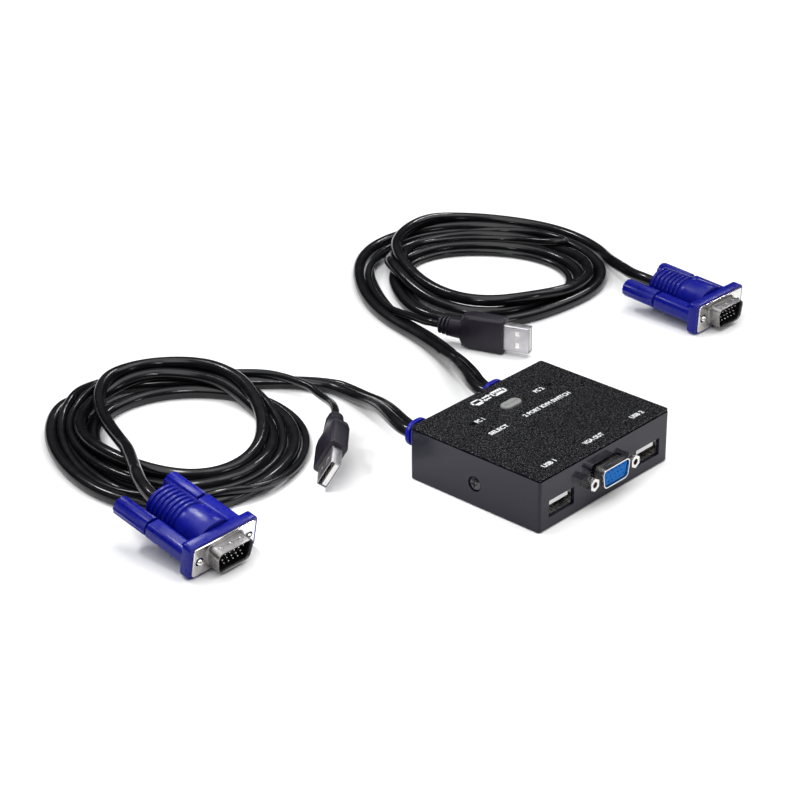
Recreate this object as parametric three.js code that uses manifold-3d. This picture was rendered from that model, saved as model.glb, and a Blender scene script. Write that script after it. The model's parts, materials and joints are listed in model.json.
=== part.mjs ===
// Two-port cable KVM switch: a small desktop box with one select button, two USB device
// ports and a display output on the front, and two attached twin cables on the back.
// Each twin cable is a display lead beside a USB lead. It is wound in a loose coil and ends
// in a display plug with two thumbscrews and a USB A plug.
// Millimetres, +Z up, origin under the middle of the box, front ports facing -Y.
import * as THREE from "three";
import { mergeVertices } from "three/addons/utils/BufferGeometryUtils.js";
import Module from "manifold-3d";

const wasm = await Module();
wasm.setup();

// ---- driving dimensions ----
const BOX = { width: 79, depth: 65, height: 23, wall: 1.8, corner: 1.2 };
const FOOT = { radius: 4, drop: 0.6, recess: 0.8, x: 31, y: 24 };
const LID = { plate: 0.8, seam: 0.5, rim: 1.2, rimDrop: 2.0, play: 0.3 };
const BOARD = { width: 68, depth: 57, thick: 1.6, top: 5 };
const SIDE_SCREW = { y: -0.5, z: 9.8, head: 2.7, shank: 1.25, length: 6 };
const USB_PORT = { x: 26.5, z: 8.55, width: 14.9, height: 7.2, setback: 1.1, length: 14 };
const DISPLAY_PORT = { z: 11.8, reach: 5.3, postReach: 4.8, postSpacing: 12.5 };
const FEMALE_D = { width: 16.4, height: 8.2 };
const MALE_D = { width: 17.9, height: 9.4 };
const BUTTON = { x: 1.1, y: 16, width: 10.2, depth: 5, proud: 0.7, play: 0.3, flange: 1.1 };
const LIGHT = { xs: [-22, 24], y: 15.7, radius: 1.45, hole: 1.75 };
const BOOT = { xs: [-31, 14.5], z: 16, width: 12.6, height: 11, reach: 5.3 };
const CABLE = { display: 5.3, usb: 3.3, gap: 0.3 };
const DISPLAY_PLUG = {
  flangeWidth: 34, flangeHeight: 14.4, flangeDepth: 4.5,
  bodyWidth: 17, bodyLow: -6.8, bodyTop: 9.2, shoulder: 1.5,
  length: 34, sleeve: 4.1, sleeveEnd: 24.2, knobStart: 24.9, knobEnd: 42, knob: 4, screwX: 12.5, tip: 2,
};
const USB_PLUG = {
  shellWidth: 12, shellHeight: 4.5, shellLength: 11.75,
  bodyWidth: 16, bodyHeight: 8, bodyLength: 20, neckEnd: 25.5, end: 31,
};

// ---- colours ----
function finish(color, roughness, metalness = 0) {
  return new THREE.MeshStandardMaterial({ color, roughness, metalness });
}
const CHARCOAL = finish(0x2b2930, 0.35);
const TEXTURED_BLACK = finish(0x1b1b1e, 0.6);
const LIGHT_GREY = finish(0xb4b5b4, 0.3);
const RUBBER = finish(0x1a1a1a, 0.9);
const BOARD_GREEN = finish(0x14532d, 0.6);
const CHIP_BLACK = finish(0x151515, 0.6);
const STEEL = finish(0xc2c2c4, 0.3, 1);
const WHITE_PLASTIC = finish(0xe6e6e2, 0.5);
const SMOKED = finish(0x1c1f22, 0.2);
const AZURE = finish(0x0070cd, 0.4);
const ULTRAMARINE = finish(0x262696, 0.45);
const GLOSSY_BLACK = finish(0x121214, 0.25);

// ---- solids ----
const part = new THREE.Group();

function solid(geometry, matrix = new THREE.Matrix4()) {
  const bare = geometry.clone().applyMatrix4(matrix);
  bare.deleteAttribute("normal");
  bare.deleteAttribute("uv");
  const welded = mergeVertices(bare, 1e-4);
  const triangles = Uint32Array.from(welded.index.array);
  const points = Float32Array.from(welded.attributes.position.array);
  return new wasm.Manifold(new wasm.Mesh({ numProp: 3, vertProperties: points, triVerts: triangles }));
}

function addMesh(name, body, material, parent = part) {
  const mesh = body.getMesh();
  const geometry = new THREE.BufferGeometry();
  geometry.setAttribute("position", new THREE.Float32BufferAttribute(mesh.vertProperties, 3));
  geometry.setIndex(new THREE.Uint32BufferAttribute(mesh.triVerts, 1));
  geometry.computeVertexNormals();
  const node = new THREE.Mesh(geometry, material);
  node.name = name;
  parent.add(node);
  return node;
}

const shift = (x, y, z) => new THREE.Matrix4().makeTranslation(x, y, z);
const ordered = (a, b) => [Math.min(a, b), Math.max(a, b)];

// A block from one corner to the opposite one.
function block(low, high) {
  const [w, d, h] = [0, 1, 2].map((i) => high[i] - low[i]);
  return solid(new THREE.BoxGeometry(w, d, h), shift(low[0] + w / 2, low[1] + d / 2, low[2] + h / 2));
}

// A closed outline, swept from one level of its axis ("y" or "z") to another.
function prism(outline, from, to, axis = "z", segments = 4) {
  const options = { depth: to - from, bevelEnabled: false, curveSegments: segments };
  const geometry = new THREE.ExtrudeGeometry(outline, options);
  if (axis === "z") return solid(geometry, shift(0, 0, from));
  return solid(geometry, shift(0, to, 0).multiply(new THREE.Matrix4().makeRotationX(Math.PI / 2)));
}

function roundedRectangle(width, height, radius, cx = 0, cy = 0) {
  const [x0, x1, y0, y1] = [cx - width / 2, cx + width / 2, cy - height / 2, cy + height / 2];
  const shape = new THREE.Shape();
  shape.moveTo(x0 + radius, y0);
  shape.lineTo(x1 - radius, y0);
  shape.absarc(x1 - radius, y0 + radius, radius, -Math.PI / 2, 0);
  shape.lineTo(x1, y1 - radius);
  shape.absarc(x1 - radius, y1 - radius, radius, 0, Math.PI / 2);
  shape.lineTo(x0 + radius, y1);
  shape.absarc(x0 + radius, y1 - radius, radius, Math.PI / 2, Math.PI);
  shape.lineTo(x0, y0 + radius);
  shape.absarc(x0 + radius, y0 + radius, radius, Math.PI, 1.5 * Math.PI);
  return shape;
}

// The D outline of a display connector, wide side up: sides slope by 10 degrees.
function dOutline(width, height, radius = 2.2, cx = 0, cy = 0) {
  const slope = THREE.MathUtils.degToRad(10);
  const inset = height * Math.tan(slope);
  const [top, low] = [cy + height / 2, cy - height / 2];
  const topX = width / 2 - radius;
  const lowX = width / 2 - radius - inset + 2 * radius * Math.tan(slope);
  const shape = new THREE.Shape();
  shape.moveTo(cx - lowX, low);
  shape.lineTo(cx + lowX, low);
  shape.absarc(cx + lowX, low + radius, radius, -Math.PI / 2, -slope);
  shape.absarc(cx + topX, top - radius, radius, -slope, Math.PI / 2);
  shape.absarc(cx - topX, top - radius, radius, Math.PI / 2, Math.PI + slope);
  shape.absarc(cx - lowX, low + radius, radius, Math.PI + slope, 1.5 * Math.PI);
  return shape;
}

// A round bar along an axis, its centre line at (a, b) in the two other coordinates.
function bar(radius, from, to, axis, a = 0, b = 0, segments = 16) {
  const geometry = new THREE.CylinderGeometry(radius, radius, to - from, segments);
  const middle = (from + to) / 2;
  if (axis === "y") return solid(geometry, shift(a, middle, b));
  const turn = new THREE.Matrix4();
  if (axis === "z") return solid(geometry, shift(a, b, middle).multiply(turn.makeRotationX(Math.PI / 2)));
  return solid(geometry, shift(middle, a, b).multiply(turn.makeRotationZ(Math.PI / 2)));
}

// A turned shape: profile points are [radius, height], on the axis at both ends.
function turned(profile, segments, matrix) {
  return solid(new THREE.LatheGeometry(profile.map(([r, h]) => new THREE.Vector2(r, h)), segments), matrix);
}

// ---- housing ----
const shellTop = BOX.height - LID.plate - LID.seam;
const floorTop = FOOT.drop + BOX.wall;
const inside = { x: BOX.width / 2 - BOX.wall, y: BOX.depth / 2 - BOX.wall };
const front = -BOX.depth / 2;
const back = BOX.depth / 2;
const boardLow = BOARD.top - BOARD.thick;
const BOARD_SCREWS = [[-20, -2], [20, -2]];

function makeBaseShell() {
  let shell = prism(roundedRectangle(BOX.width, BOX.depth, BOX.corner), FOOT.drop, shellTop);
  shell = shell.subtract(block([-inside.x, -inside.y, floorTop], [inside.x, inside.y, shellTop + 1]));
  for (const side of [-1, 1]) {
    const x = side * USB_PORT.x;
    const outline = roundedRectangle(USB_PORT.width, USB_PORT.height, 0.4, x, USB_PORT.z);
    shell = shell.subtract(prism(outline, front - 1, front + BOX.wall + 1, "y", 2));
    const outer = side * BOX.width / 2;
    const bore = ordered(outer - 4 * side, outer + side);
    shell = shell.subtract(bar(1.6, ...bore, "x", SIDE_SCREW.y, SIDE_SCREW.z));
    const recess = ordered(outer - side, outer + side);
    shell = shell.subtract(bar(3.2, ...recess, "x", SIDE_SCREW.y, SIDE_SCREW.z, 20));
    for (const y of [-FOOT.y, FOOT.y]) {
      shell = shell.subtract(bar(FOOT.radius + 0.2, 0, FOOT.drop + FOOT.recess, "z", side * FOOT.x, y, 20));
    }
    const postX = side * DISPLAY_PORT.postSpacing;
    shell = shell.subtract(bar(1.6, front - 1, front + 3, "y", postX, DISPLAY_PORT.z));
  }
  const gate = dOutline(19.2, 10.2, 2.6, 0, DISPLAY_PORT.z);
  shell = shell.subtract(prism(gate, front - 1, front + BOX.wall + 1, "y"));
  for (const x of BOOT.xs) {
    const hole = roundedRectangle(10, 7, 3.4, x, BOOT.z);
    shell = shell.subtract(prism(hole, back - BOX.wall - 1, back + 1, "y"));
  }
  for (const [x, y] of BOARD_SCREWS) {
    shell = shell.add(bar(2.8, floorTop - 0.5, boardLow - 0.1, "z", x, y));
    shell = shell.subtract(bar(1.15, floorTop - 1.2, boardLow + 1, "z", x, y, 12));
  }
  return shell;
}

function makeTopCover() {
  const plateLow = BOX.height - LID.plate;
  const rimLow = plateLow - LID.rimDrop;
  const rimX = 2 * (inside.x - LID.play);
  const rimY = 2 * (inside.y - LID.play);
  let cover = prism(roundedRectangle(BOX.width - 0.4, BOX.depth - 0.4, 1), plateLow, BOX.height);
  let rim = prism(roundedRectangle(rimX, rimY, 0.8), rimLow, plateLow + 0.3);
  const rimInside = roundedRectangle(rimX - 2 * LID.rim, rimY - 2 * LID.rim, 0.5);
  rim = rim.subtract(prism(rimInside, rimLow - 1, plateLow));
  cover = cover.add(rim);
  for (const side of [-1, 1]) {
    const outer = side * (inside.x - LID.play);
    const tab = ordered(outer, outer - side * 1.6);
    cover = cover.add(block([tab[0], -5.5, 6.5], [tab[1], 4.5, plateLow + 0.3]));
    cover = cover.subtract(bar(1.5, tab[0] - 1, tab[1] + 1, "x", SIDE_SCREW.y, SIDE_SCREW.z, 12));
  }
  const slotWidth = BUTTON.width + 2 * BUTTON.play;
  const slotDepth = BUTTON.depth + 2 * BUTTON.play;
  const slot = roundedRectangle(slotWidth, slotDepth, slotDepth / 2 - 0.01, BUTTON.x, BUTTON.y);
  cover = cover.subtract(prism(slot, plateLow - 1, BOX.height + 1, "z", 8));
  for (const x of LIGHT.xs) {
    cover = cover.subtract(bar(LIGHT.hole, plateLow - 1, BOX.height + 1, "z", x, LIGHT.y, 20));
  }
  return cover;
}

addMesh("base_shell", makeBaseShell(), CHARCOAL);
addMesh("top_cover", makeTopCover(), TEXTURED_BLACK);
const FEET = [["front_left", -1, -1], ["front_right", 1, -1], ["back_left", -1, 1], ["back_right", 1, 1]];
for (const [name, x, y] of FEET) {
  const foot = bar(FOOT.radius, 0, FOOT.drop + FOOT.recess - 0.05, "z", x * FOOT.x, y * FOOT.y, 20);
  addMesh(`foot_${name}`, foot, RUBBER);
}
for (const [name, side] of [["left", -1], ["right", 1]]) {
  const turn = new THREE.Matrix4().makeRotationZ(-side * Math.PI / 2);
  const place = shift(side * (BOX.width / 2 - 0.95), SIDE_SCREW.y, SIDE_SCREW.z).multiply(turn);
  const { head, shank, length } = SIDE_SCREW;
  const profile = [
    [0, -length], [shank, -length], [shank, 0], [head, 0], [head, 0.6], [head * 0.6, 1.15], [0, 1.3],
  ];
  const cross = block([-1.5, 0.7, -0.3], [1.5, 2, 0.3]).add(block([-0.3, 0.7, -1.5], [0.3, 2, 1.5]));
  const screw = turned(profile, 20, new THREE.Matrix4()).subtract(cross);
  addMesh(`side_screw_${name}`, screw.transform(place.elements), STEEL);
}

// ---- circuit board and what stands on it ----
const board = BOARD_SCREWS.reduce(
  (plate, [x, y]) => plate.subtract(bar(1.3, boardLow - 1, BOARD.top + 1, "z", x, y, 12)),
  block([-BOARD.width / 2, -BOARD.depth / 2, boardLow], [BOARD.width / 2, BOARD.depth / 2, BOARD.top]),
);
addMesh("circuit_board", board, BOARD_GREEN);
const seat = BOARD.top + 0.05;
for (const [name, [x, y]] of [["left", BOARD_SCREWS[0]], ["right", BOARD_SCREWS[1]]]) {
  const headTop = seat + 1.4;
  const profile = [
    [0, floorTop - 1], [1, floorTop - 1], [1, seat], [2.1, seat],
    [2.1, seat + 0.9], [1.2, headTop], [0, headTop],
  ];
  const upright = shift(x, y, 0).multiply(new THREE.Matrix4().makeRotationX(Math.PI / 2));
  addMesh(`board_screw_${name}`, turned(profile, 12, upright), STEEL);
}
addMesh("video_switch_chip", block([-8, -14, seat], [4, -7, seat + 1.7]), CHIP_BLACK);
addMesh("usb_controller_chip", block([9, -15, seat], [18, -6, seat + 1.5]), CHIP_BLACK);
addMesh("crystal", prism(roundedRectangle(11, 4.6, 2.2, 10, 0), seat, seat + 3.5), STEEL);
BOOT.xs.forEach((x, i) => {
  const centre = i === 0 ? x + 2 : x;
  addMesh(`cable_header_${i + 1}`, block([centre - 5, 18, seat], [centre + 5, 24, seat + 7]), WHITE_PLASTIC);
});
LIGHT.xs.forEach((x, i) => {
  const top = BOX.height - 0.3;
  const { radius } = LIGHT;
  const profile = [[0, seat], [2.5, seat], [2.5, seat + 2], [radius, seat + 3], [radius, top - 0.3], [0, top]];
  const upright = shift(x, LIGHT.y, 0).multiply(new THREE.Matrix4().makeRotationX(Math.PI / 2));
  addMesh(`pc_${i + 1}_light_pipe`, turned(profile, 16, upright), SMOKED);
});

// ---- select button over its push switch ----
const SWITCH = { half: 3, height: 3.6, well: 2, plunger: 1.75, plungerLow: 6.9, plungerTop: 13 };
const switchTop = seat + SWITCH.height;
const switchBody = block(
  [BUTTON.x - SWITCH.half, BUTTON.y - SWITCH.half, seat],
  [BUTTON.x + SWITCH.half, BUTTON.y + SWITCH.half, switchTop],
).subtract(bar(SWITCH.well, seat + 1, switchTop + 1, "z", BUTTON.x, BUTTON.y));
addMesh("select_switch_body", switchBody, CHIP_BLACK);
const plunger = bar(SWITCH.plunger, SWITCH.plungerLow, SWITCH.plungerTop, "z", BUTTON.x, BUTTON.y);
addMesh("select_switch_plunger", plunger, WHITE_PLASTIC);
const flangeTop = BOX.height - LID.plate - 0.2;
const cap = roundedRectangle(BUTTON.width, BUTTON.depth, BUTTON.depth / 2 - 0.01, BUTTON.x, BUTTON.y);
const skirt = roundedRectangle(BUTTON.width + 2, BUTTON.depth + 2, BUTTON.depth / 2, BUTTON.x, BUTTON.y);
const stem = block(
  [BUTTON.x - 1.5, BUTTON.y - 1.5, SWITCH.plungerTop + 0.05],
  [BUTTON.x + 1.5, BUTTON.y + 1.5, flangeTop - 0.4],
);
const button = prism(cap, flangeTop - 0.5, BOX.height + BUTTON.proud, "z", 8)
  .add(prism(skirt, flangeTop - BUTTON.flange, flangeTop))
  .add(stem);
addMesh("select_button", button, LIGHT_GREY);

// ---- front USB ports ----
[-1, 1].forEach((side, i) => {
  const x = side * USB_PORT.x;
  const z = USB_PORT.z;
  const mouth = front + USB_PORT.setback;
  const rear = mouth + USB_PORT.length;
  const shell = prism(roundedRectangle(13.9, 6.5, 0.6, x, z), mouth, rear, "y", 2)
    .subtract(prism(roundedRectangle(13.1, 5.7, 0.4, x, z), mouth - 1, rear + 1, "y", 2));
  addMesh(`usb_port_${i + 1}_shell`, shell, STEEL);
  const tongue = block([x - 5.55, mouth + 0.6, z + 0.4], [x + 5.55, rear - 3, z + 2.25])
    .add(block([x - 6.4, rear - 4, z - 2.7], [x + 6.4, rear - 0.2, z + 2.7]));
  addMesh(`usb_port_${i + 1}_tongue`, tongue, WHITE_PLASTIC);
});

// ---- display output ----
const panelBack = front + BOX.wall;
const portZ = DISPLAY_PORT.z;
const portOuter = dOutline(FEMALE_D.width, FEMALE_D.height, 2.2, 0, portZ);
const portInner = dOutline(FEMALE_D.width - 0.9, FEMALE_D.height - 0.9, 1.8, 0, portZ);
const portFiller = dOutline(FEMALE_D.width - 1.3, FEMALE_D.height - 1.3, 1.6, 0, portZ);
let portShell = prism(roundedRectangle(30.8, 12.5, 1.5, 0, portZ), panelBack + 0.1, panelBack + 0.9, "y", 2)
  .add(prism(portOuter, front - DISPLAY_PORT.reach, panelBack + 0.5, "y"))
  .subtract(prism(portInner, front - 10, panelBack + 3, "y"));
for (const side of [-1, 1]) {
  const postX = side * DISPLAY_PORT.postSpacing;
  portShell = portShell.subtract(bar(1.6, panelBack - 1, panelBack + 3, "y", postX, portZ));
}
addMesh("vga_port_shell", portShell, STEEL);
const insulator = prism(portFiller, front - 4.5, panelBack + 2, "y")
  .add(block([-9.5, panelBack + 1.1, seat], [9.5, panelBack + 9, portZ + 5]));
addMesh("vga_port_insulator", insulator, AZURE);
for (const [name, side] of [["left", -1], ["right", 1]]) {
  const x = side * DISPLAY_PORT.postSpacing;
  const post = bar(2.75, front - DISPLAY_PORT.postReach, front - 0.1, "y", x, portZ, 6)
    .add(bar(1.35, front - 0.5, panelBack + 3, "y", x, portZ, 12))
    .subtract(bar(1.3, front - DISPLAY_PORT.postReach - 1, front - 0.8, "y", x, portZ, 12));
  addMesh(`vga_port_post_${name}`, post, STEEL);
}

// ---- cable boots and the lead stubs inside ----
const ringAt = (x, scale, from, to) => {
  const [width, height] = [BOOT.width * scale, BOOT.height * scale];
  const outline = roundedRectangle(width, height, height * 0.45, x, BOOT.z);
  return prism(outline, back + from, back + to, "y", 5);
};
BOOT.xs.forEach((x, i) => {
  const oval = roundedRectangle(9.4, 6.4, 3.1, x, BOOT.z);
  const neck = prism(oval, back - BOX.wall - 1.4, back + BOOT.reach - 0.5, "y");
  const boot = neck
    .add(ringAt(x, 1, 0.1, 2))
    .add(ringAt(x, 0.84, 1.8, 3.2))
    .add(ringAt(x, 0.96, 3, BOOT.reach))
    .add(prism(roundedRectangle(12, 7.8, 2, x, BOOT.z), back - BOX.wall - 1.6, back - BOX.wall - 0.1, "y"));
  addMesh(`cable_boot_${i + 1}`, boot, ULTRAMARINE);
});

// A tube through the given points, with a step every two and a half diameters.
function tube(points, diameter, stretch = 2.5) {
  const curve = new THREE.CatmullRomCurve3(points.map((p) => new THREE.Vector3(...p)), false, "centripetal");
  const sides = diameter < 4 ? 8 : 10;
  const section = new THREE.Shape();
  for (let i = 0; i < sides; i++) {
    const angle = (2 * Math.PI * i) / sides;
    const [x, y] = [Math.cos(angle) * diameter / 2, Math.sin(angle) * diameter / 2];
    if (i === 0) section.moveTo(x, y);
    else section.lineTo(x, y);
  }
  const steps = Math.max(3, Math.round(curve.getLength() / (stretch * diameter)));
  return solid(new THREE.ExtrudeGeometry(section, { steps, extrudePath: curve, bevelEnabled: false }));
}

BOOT.xs.forEach((x, i) => {
  const centre = i === 0 ? x + 2 : x;
  const route = [
    [x, 28.6, BOOT.z], [x, 26.8, BOOT.z], [(x + centre) / 2, 24, BOOT.z],
    [centre, 21.6, 14.9], [centre, 21, seat + 7.6],
  ];
  addMesh(`inner_lead_${i + 1}`, tube(route, 4.6, 0.5), GLOSSY_BLACK);
});

// ---- plugs, each made in its own frame: mating face towards -Y, cable leaving towards +Y ----
function placeGroup({ at, yaw, pitch, roll = 0 }) {
  const group = new THREE.Group();
  group.position.set(...at);
  const rad = THREE.MathUtils.degToRad;
  group.rotation.set(rad(pitch), rad(roll), rad(yaw), "ZXY");
  part.add(group);
  return group;
}

const DISPLAY_PLUG_PLACES = [
  { at: [-133.2, 39.1, 7.15], yaw: 0.7, pitch: 11 },
  { at: [157, 27, 7.25], yaw: -0.7, pitch: 3.5 },
];
const USB_PLUG_PLACES = [
  { at: [-60.5, 55.4, 8.9], yaw: -48.9, pitch: 3, roll: -60 },
  { at: [71.6, 78.7, 8.1], yaw: 19, pitch: 0, roll: -90 },
];

function addDisplayPlug(number, place) {
  const group = placeGroup(place);
  const p = DISPLAY_PLUG;
  const half = p.bodyWidth / 2;
  const crown = p.shoulder + (p.bodyTop - p.shoulder) / 0.75;
  const dome = new THREE.Shape();
  dome.moveTo(-half, p.bodyLow + 1.5);
  dome.quadraticCurveTo(-half, p.bodyLow, -half + 1.5, p.bodyLow);
  dome.lineTo(half - 1.5, p.bodyLow);
  dome.quadraticCurveTo(half, p.bodyLow, half, p.bodyLow + 1.5);
  dome.lineTo(half, p.shoulder);
  dome.bezierCurveTo(half, crown, -half, crown, -half, p.shoulder);
  let hood = prism(roundedRectangle(p.flangeWidth, p.flangeHeight, 2), 0, p.flangeDepth, "y", 3)
    .add(prism(dome, p.flangeDepth - 0.5, p.length, "y", 6));
  for (const side of [-1, 1]) {
    hood = hood.add(bar(p.sleeve, p.flangeDepth - 0.5, p.sleeveEnd, "y", side * p.screwX, 0, 16));
    const web = ordered(side * 7, side * 11);
    hood = hood.add(block([web[0], p.flangeDepth - 0.5, -1.5], [web[1], p.sleeveEnd, 1.5]));
    hood = hood.subtract(bar(1.8, -1, p.sleeveEnd + 1, "y", side * p.screwX, 0, 12));
  }
  hood = hood.subtract(prism(dOutline(16.2, 8, 1.8), -1, 3, "y", 3));
  addMesh(`vga_plug_${number}_hood`, hood, ULTRAMARINE, group);

  let shell = prism(roundedRectangle(30.8, 12.5, 1.2), -0.65, -0.1, "y", 2)
    .add(prism(dOutline(MALE_D.width, MALE_D.height, 2.6), -6.6, -0.3, "y", 3))
    .subtract(prism(dOutline(MALE_D.width - 0.9, MALE_D.height - 0.9, 2.2), -8, 1, "y", 3));
  for (const side of [-1, 1]) shell = shell.subtract(bar(1.8, -2, 1, "y", side * p.screwX, 0, 12));
  addMesh(`vga_plug_${number}_shell`, shell, STEEL, group);
  const filler = prism(dOutline(15.8, 7.6, 1.7), -1.4, 2.8, "y", 3);
  addMesh(`vga_plug_${number}_insulator`, filler, CHIP_BLACK, group);

  for (const [name, side] of [["left", -1], ["right", 1]]) {
    const shank = bar(1.4, -p.tip, p.knobStart + 0.5, "y", side * p.screwX, 0, 10);
    const knob = bar(p.knob, p.knobStart, p.knobEnd, "y", side * p.screwX, 0, 16);
    addMesh(`vga_plug_${number}_thumbscrew_${name}`, shank.add(knob), ULTRAMARINE, group);
  }
}

function addUsbPlug(number, place) {
  const group = placeGroup(place);
  const u = USB_PLUG;
  const body = prism(roundedRectangle(u.bodyWidth, u.bodyHeight, 1.6), 0, u.bodyLength, "y", 3)
    .add(prism(roundedRectangle(9, 7, 2.8), u.bodyLength - 1, u.neckEnd, "y", 3))
    .add(bar(3.2, u.neckEnd - 0.5, u.end, "y", 0, 0, 12));
  addMesh(`usb_plug_${number}_overmould`, body, GLOSSY_BLACK, group);
  const hollow = roundedRectangle(u.shellWidth - 0.7, u.shellHeight - 0.7, 0.3);
  const shell = prism(roundedRectangle(u.shellWidth, u.shellHeight, 0.5), -u.shellLength, -0.1, "y", 2)
    .subtract(prism(hollow, -u.shellLength - 1, 1, "y", 2));
  addMesh(`usb_plug_${number}_shell`, shell, STEEL, group);
  const tongue = block([-5.3, -u.shellLength + 0.4, -1.65], [5.3, -0.3, 0.1]);
  addMesh(`usb_plug_${number}_tongue`, tongue, WHITE_PLASTIC, group);
}

DISPLAY_PLUG_PLACES.forEach((place, i) => addDisplayPlug(i + 1, place));
USB_PLUG_PLACES.forEach((place, i) => addUsbPlug(i + 1, place));

// ---- cords ----
// Each twin leaves its boot level, comes down to the table and runs to its coil. The points are
// the middle of the twin; the display lead lies on its left and the USB lead on its right.
const bootEnd = back + BOOT.reach + CABLE.gap;
const LEAD_ROUTES = [
  [
    [-31, bootEnd, 16], [-31, bootEnd + 3, 16], [-28.6, 48, 15.4], [-21.8, 60, 13], [-16, 69.5, 10.2],
    [-11, 79, 7.2], [-7.6, 88.5, 4.6], [-5.4, 98, 3.2], [-5, 107, 2.75], [-7, 116, 2.75],
    [-12, 124.5, 2.75], [-19.5, 131, 2.75], [-27, 138.5, 2.75], [-34, 148, 2.75],
  ],
  [
    [14.5, bootEnd, 16], [14.5, bootEnd + 3, 16], [17.2, 47.8, 15.4], [25, 58.5, 13.2], [31.5, 67.5, 11],
    [38.5, 77.5, 8.2], [45, 88, 5.4], [50.5, 98, 3.4], [55, 108, 2.75], [58.8, 118, 2.75],
    [62.5, 128, 2.75], [68, 139, 2.75],
  ],
];
const COILS = [
  { centre: [-79, 123], inner: 33, outer: 56.5, height: 12.5, oval: [0.98, 1.02] },
  { centre: [122, 139], inner: 30, outer: 59, height: 12.5, oval: [1.06, 0.97] },
];
const DISPLAY_TAILS = [
  [[-124, 108, 8], [-128.5, 97, 10], [-132.3, 87.5, 13], [-133.7, 78.4, 14.75], [-133.61, 72.87, 13.71]],
  [[166, 101, 8.5], [163, 90, 8.8], [159.6, 78, 9.2], [157.7, 68.3, 9.6], [157.42, 61.42, 9.4]],
];
const USB_TAILS = [
  [
    [-35, 150, 9.6], [-27, 141, 9.6], [-21.4, 134, 9], [-18, 126, 8.4], [-17, 117, 7.4], [-17.5, 109, 6.2],
    [-19.8, 101, 6], [-23.2, 93, 7.4], [-27.6, 86, 9.4], [-32.5, 80, 10.7], [-36.9, 76, 10.55],
  ],
  [[68, 132, 8], [62.2, 121, 8], [60.6, 115, 8.1], [60.5, 111.5, 8.1], [61.35, 108.4, 8.1]],
];

// The route moved sideways in plan, to the right of its heading when the distance is positive.
function beside(points, distance) {
  return points.map((p, i) => {
    const [a, b] = [points[Math.max(i - 1, 0)], points[Math.min(i + 1, points.length - 1)]];
    const heading = new THREE.Vector2(b[0] - a[0], b[1] - a[1]).normalize();
    return [p[0] + heading.y * distance, p[1] - heading.x * distance, p[2]];
  });
}

// The outer shape of a wound coil lying on the table, its skin moved out by the given gap.
function coilRing({ centre, inner, outer, height, oval }, gap = 0) {
  const halfWidth = (outer - inner) / 2 + gap;
  const halfHeight = height / 2 + gap;
  const middle = [(inner + outer) / 2, height / 2 + 0.05];
  const section = roundedRectangle(2 * halfWidth, 2 * halfHeight, 2.5 + gap, ...middle);
  const profile = section.getPoints(2).map((p) => [p.x, p.y]);
  const upright = shift(centre[0], centre[1], 0)
    .multiply(new THREE.Matrix4().makeScale(oval[0], oval[1], 1))
    .multiply(new THREE.Matrix4().makeRotationX(Math.PI / 2));
  return turned(profile, 40, upright);
}

const pitch = (CABLE.display + CABLE.usb) / 2 + CABLE.gap;
const displayOffset = -pitch * CABLE.usb / (CABLE.display + CABLE.usb);
const usbOffset = displayOffset + pitch;
COILS.forEach((coil, i) => {
  const cleared = coilRing(coil, CABLE.gap);
  const display = beside(LEAD_ROUTES[i], displayOffset);
  const usb = beside(LEAD_ROUTES[i], usbOffset);
  const runs = [
    ["vga_lead", tube(display, CABLE.display)],
    ["usb_lead", tube(usb, CABLE.usb, 3)],
    ["vga_tail", tube(DISPLAY_TAILS[i], CABLE.display, 1.5)],
    ["usb_tail", tube(USB_TAILS[i], CABLE.usb, 2)],
  ];
  for (const [name, run] of runs) addMesh(`${name}_${i + 1}`, run.subtract(cleared), GLOSSY_BLACK);
  addMesh(`cable_coil_${i + 1}`, coilRing(coil), GLOSSY_BLACK);
});

export default part;
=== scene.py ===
# Two-port cable KVM switch on a white table: the looks of a small black box with two twin
# cables, each wound in a loose coil and ending in a display plug and a USB plug.
# Metres, +Z up, origin under the middle of the box, front ports facing -Y.
import json
import math
from math import cos, radians, sin

import bmesh
import bpy
import numpy as np
from mathutils import Matrix, Vector
from numpy.linalg import norm


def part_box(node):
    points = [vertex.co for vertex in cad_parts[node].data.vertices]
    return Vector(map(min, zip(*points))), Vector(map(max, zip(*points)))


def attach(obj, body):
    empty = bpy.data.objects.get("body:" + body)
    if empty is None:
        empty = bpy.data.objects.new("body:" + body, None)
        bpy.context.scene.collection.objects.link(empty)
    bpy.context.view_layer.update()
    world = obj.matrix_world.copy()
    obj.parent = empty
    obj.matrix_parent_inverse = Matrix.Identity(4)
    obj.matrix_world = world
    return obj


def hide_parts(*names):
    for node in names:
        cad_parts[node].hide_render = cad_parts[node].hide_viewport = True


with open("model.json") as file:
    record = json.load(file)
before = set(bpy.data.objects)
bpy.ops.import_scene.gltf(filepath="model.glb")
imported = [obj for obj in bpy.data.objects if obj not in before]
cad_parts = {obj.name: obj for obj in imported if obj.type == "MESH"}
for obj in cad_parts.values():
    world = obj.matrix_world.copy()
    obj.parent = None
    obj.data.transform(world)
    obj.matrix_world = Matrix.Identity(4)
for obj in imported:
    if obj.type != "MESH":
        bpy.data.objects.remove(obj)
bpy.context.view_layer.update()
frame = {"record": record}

MM = 0.001


def node_box(name):
    """Lowest and highest corners of a CAD node, in metres."""
    low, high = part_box(name)
    return Vector(low), Vector(high)


def node_middle(name):
    """Middle of a CAD node's box, in millimetres."""
    low, high = node_box(name)
    return [(a + b) / 2 / MM for a, b in zip(low, high)]


def linked(name, data):
    """A new object with this data, in the scene."""
    made = bpy.data.objects.new(name, data)
    bpy.context.scene.collection.objects.link(made)
    return made


def mesh_object(name, mesh):
    """A new object from a bmesh, which is freed."""
    data = bpy.data.meshes.new(name)
    mesh.to_mesh(data)
    mesh.free()
    return linked(name, data)


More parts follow.
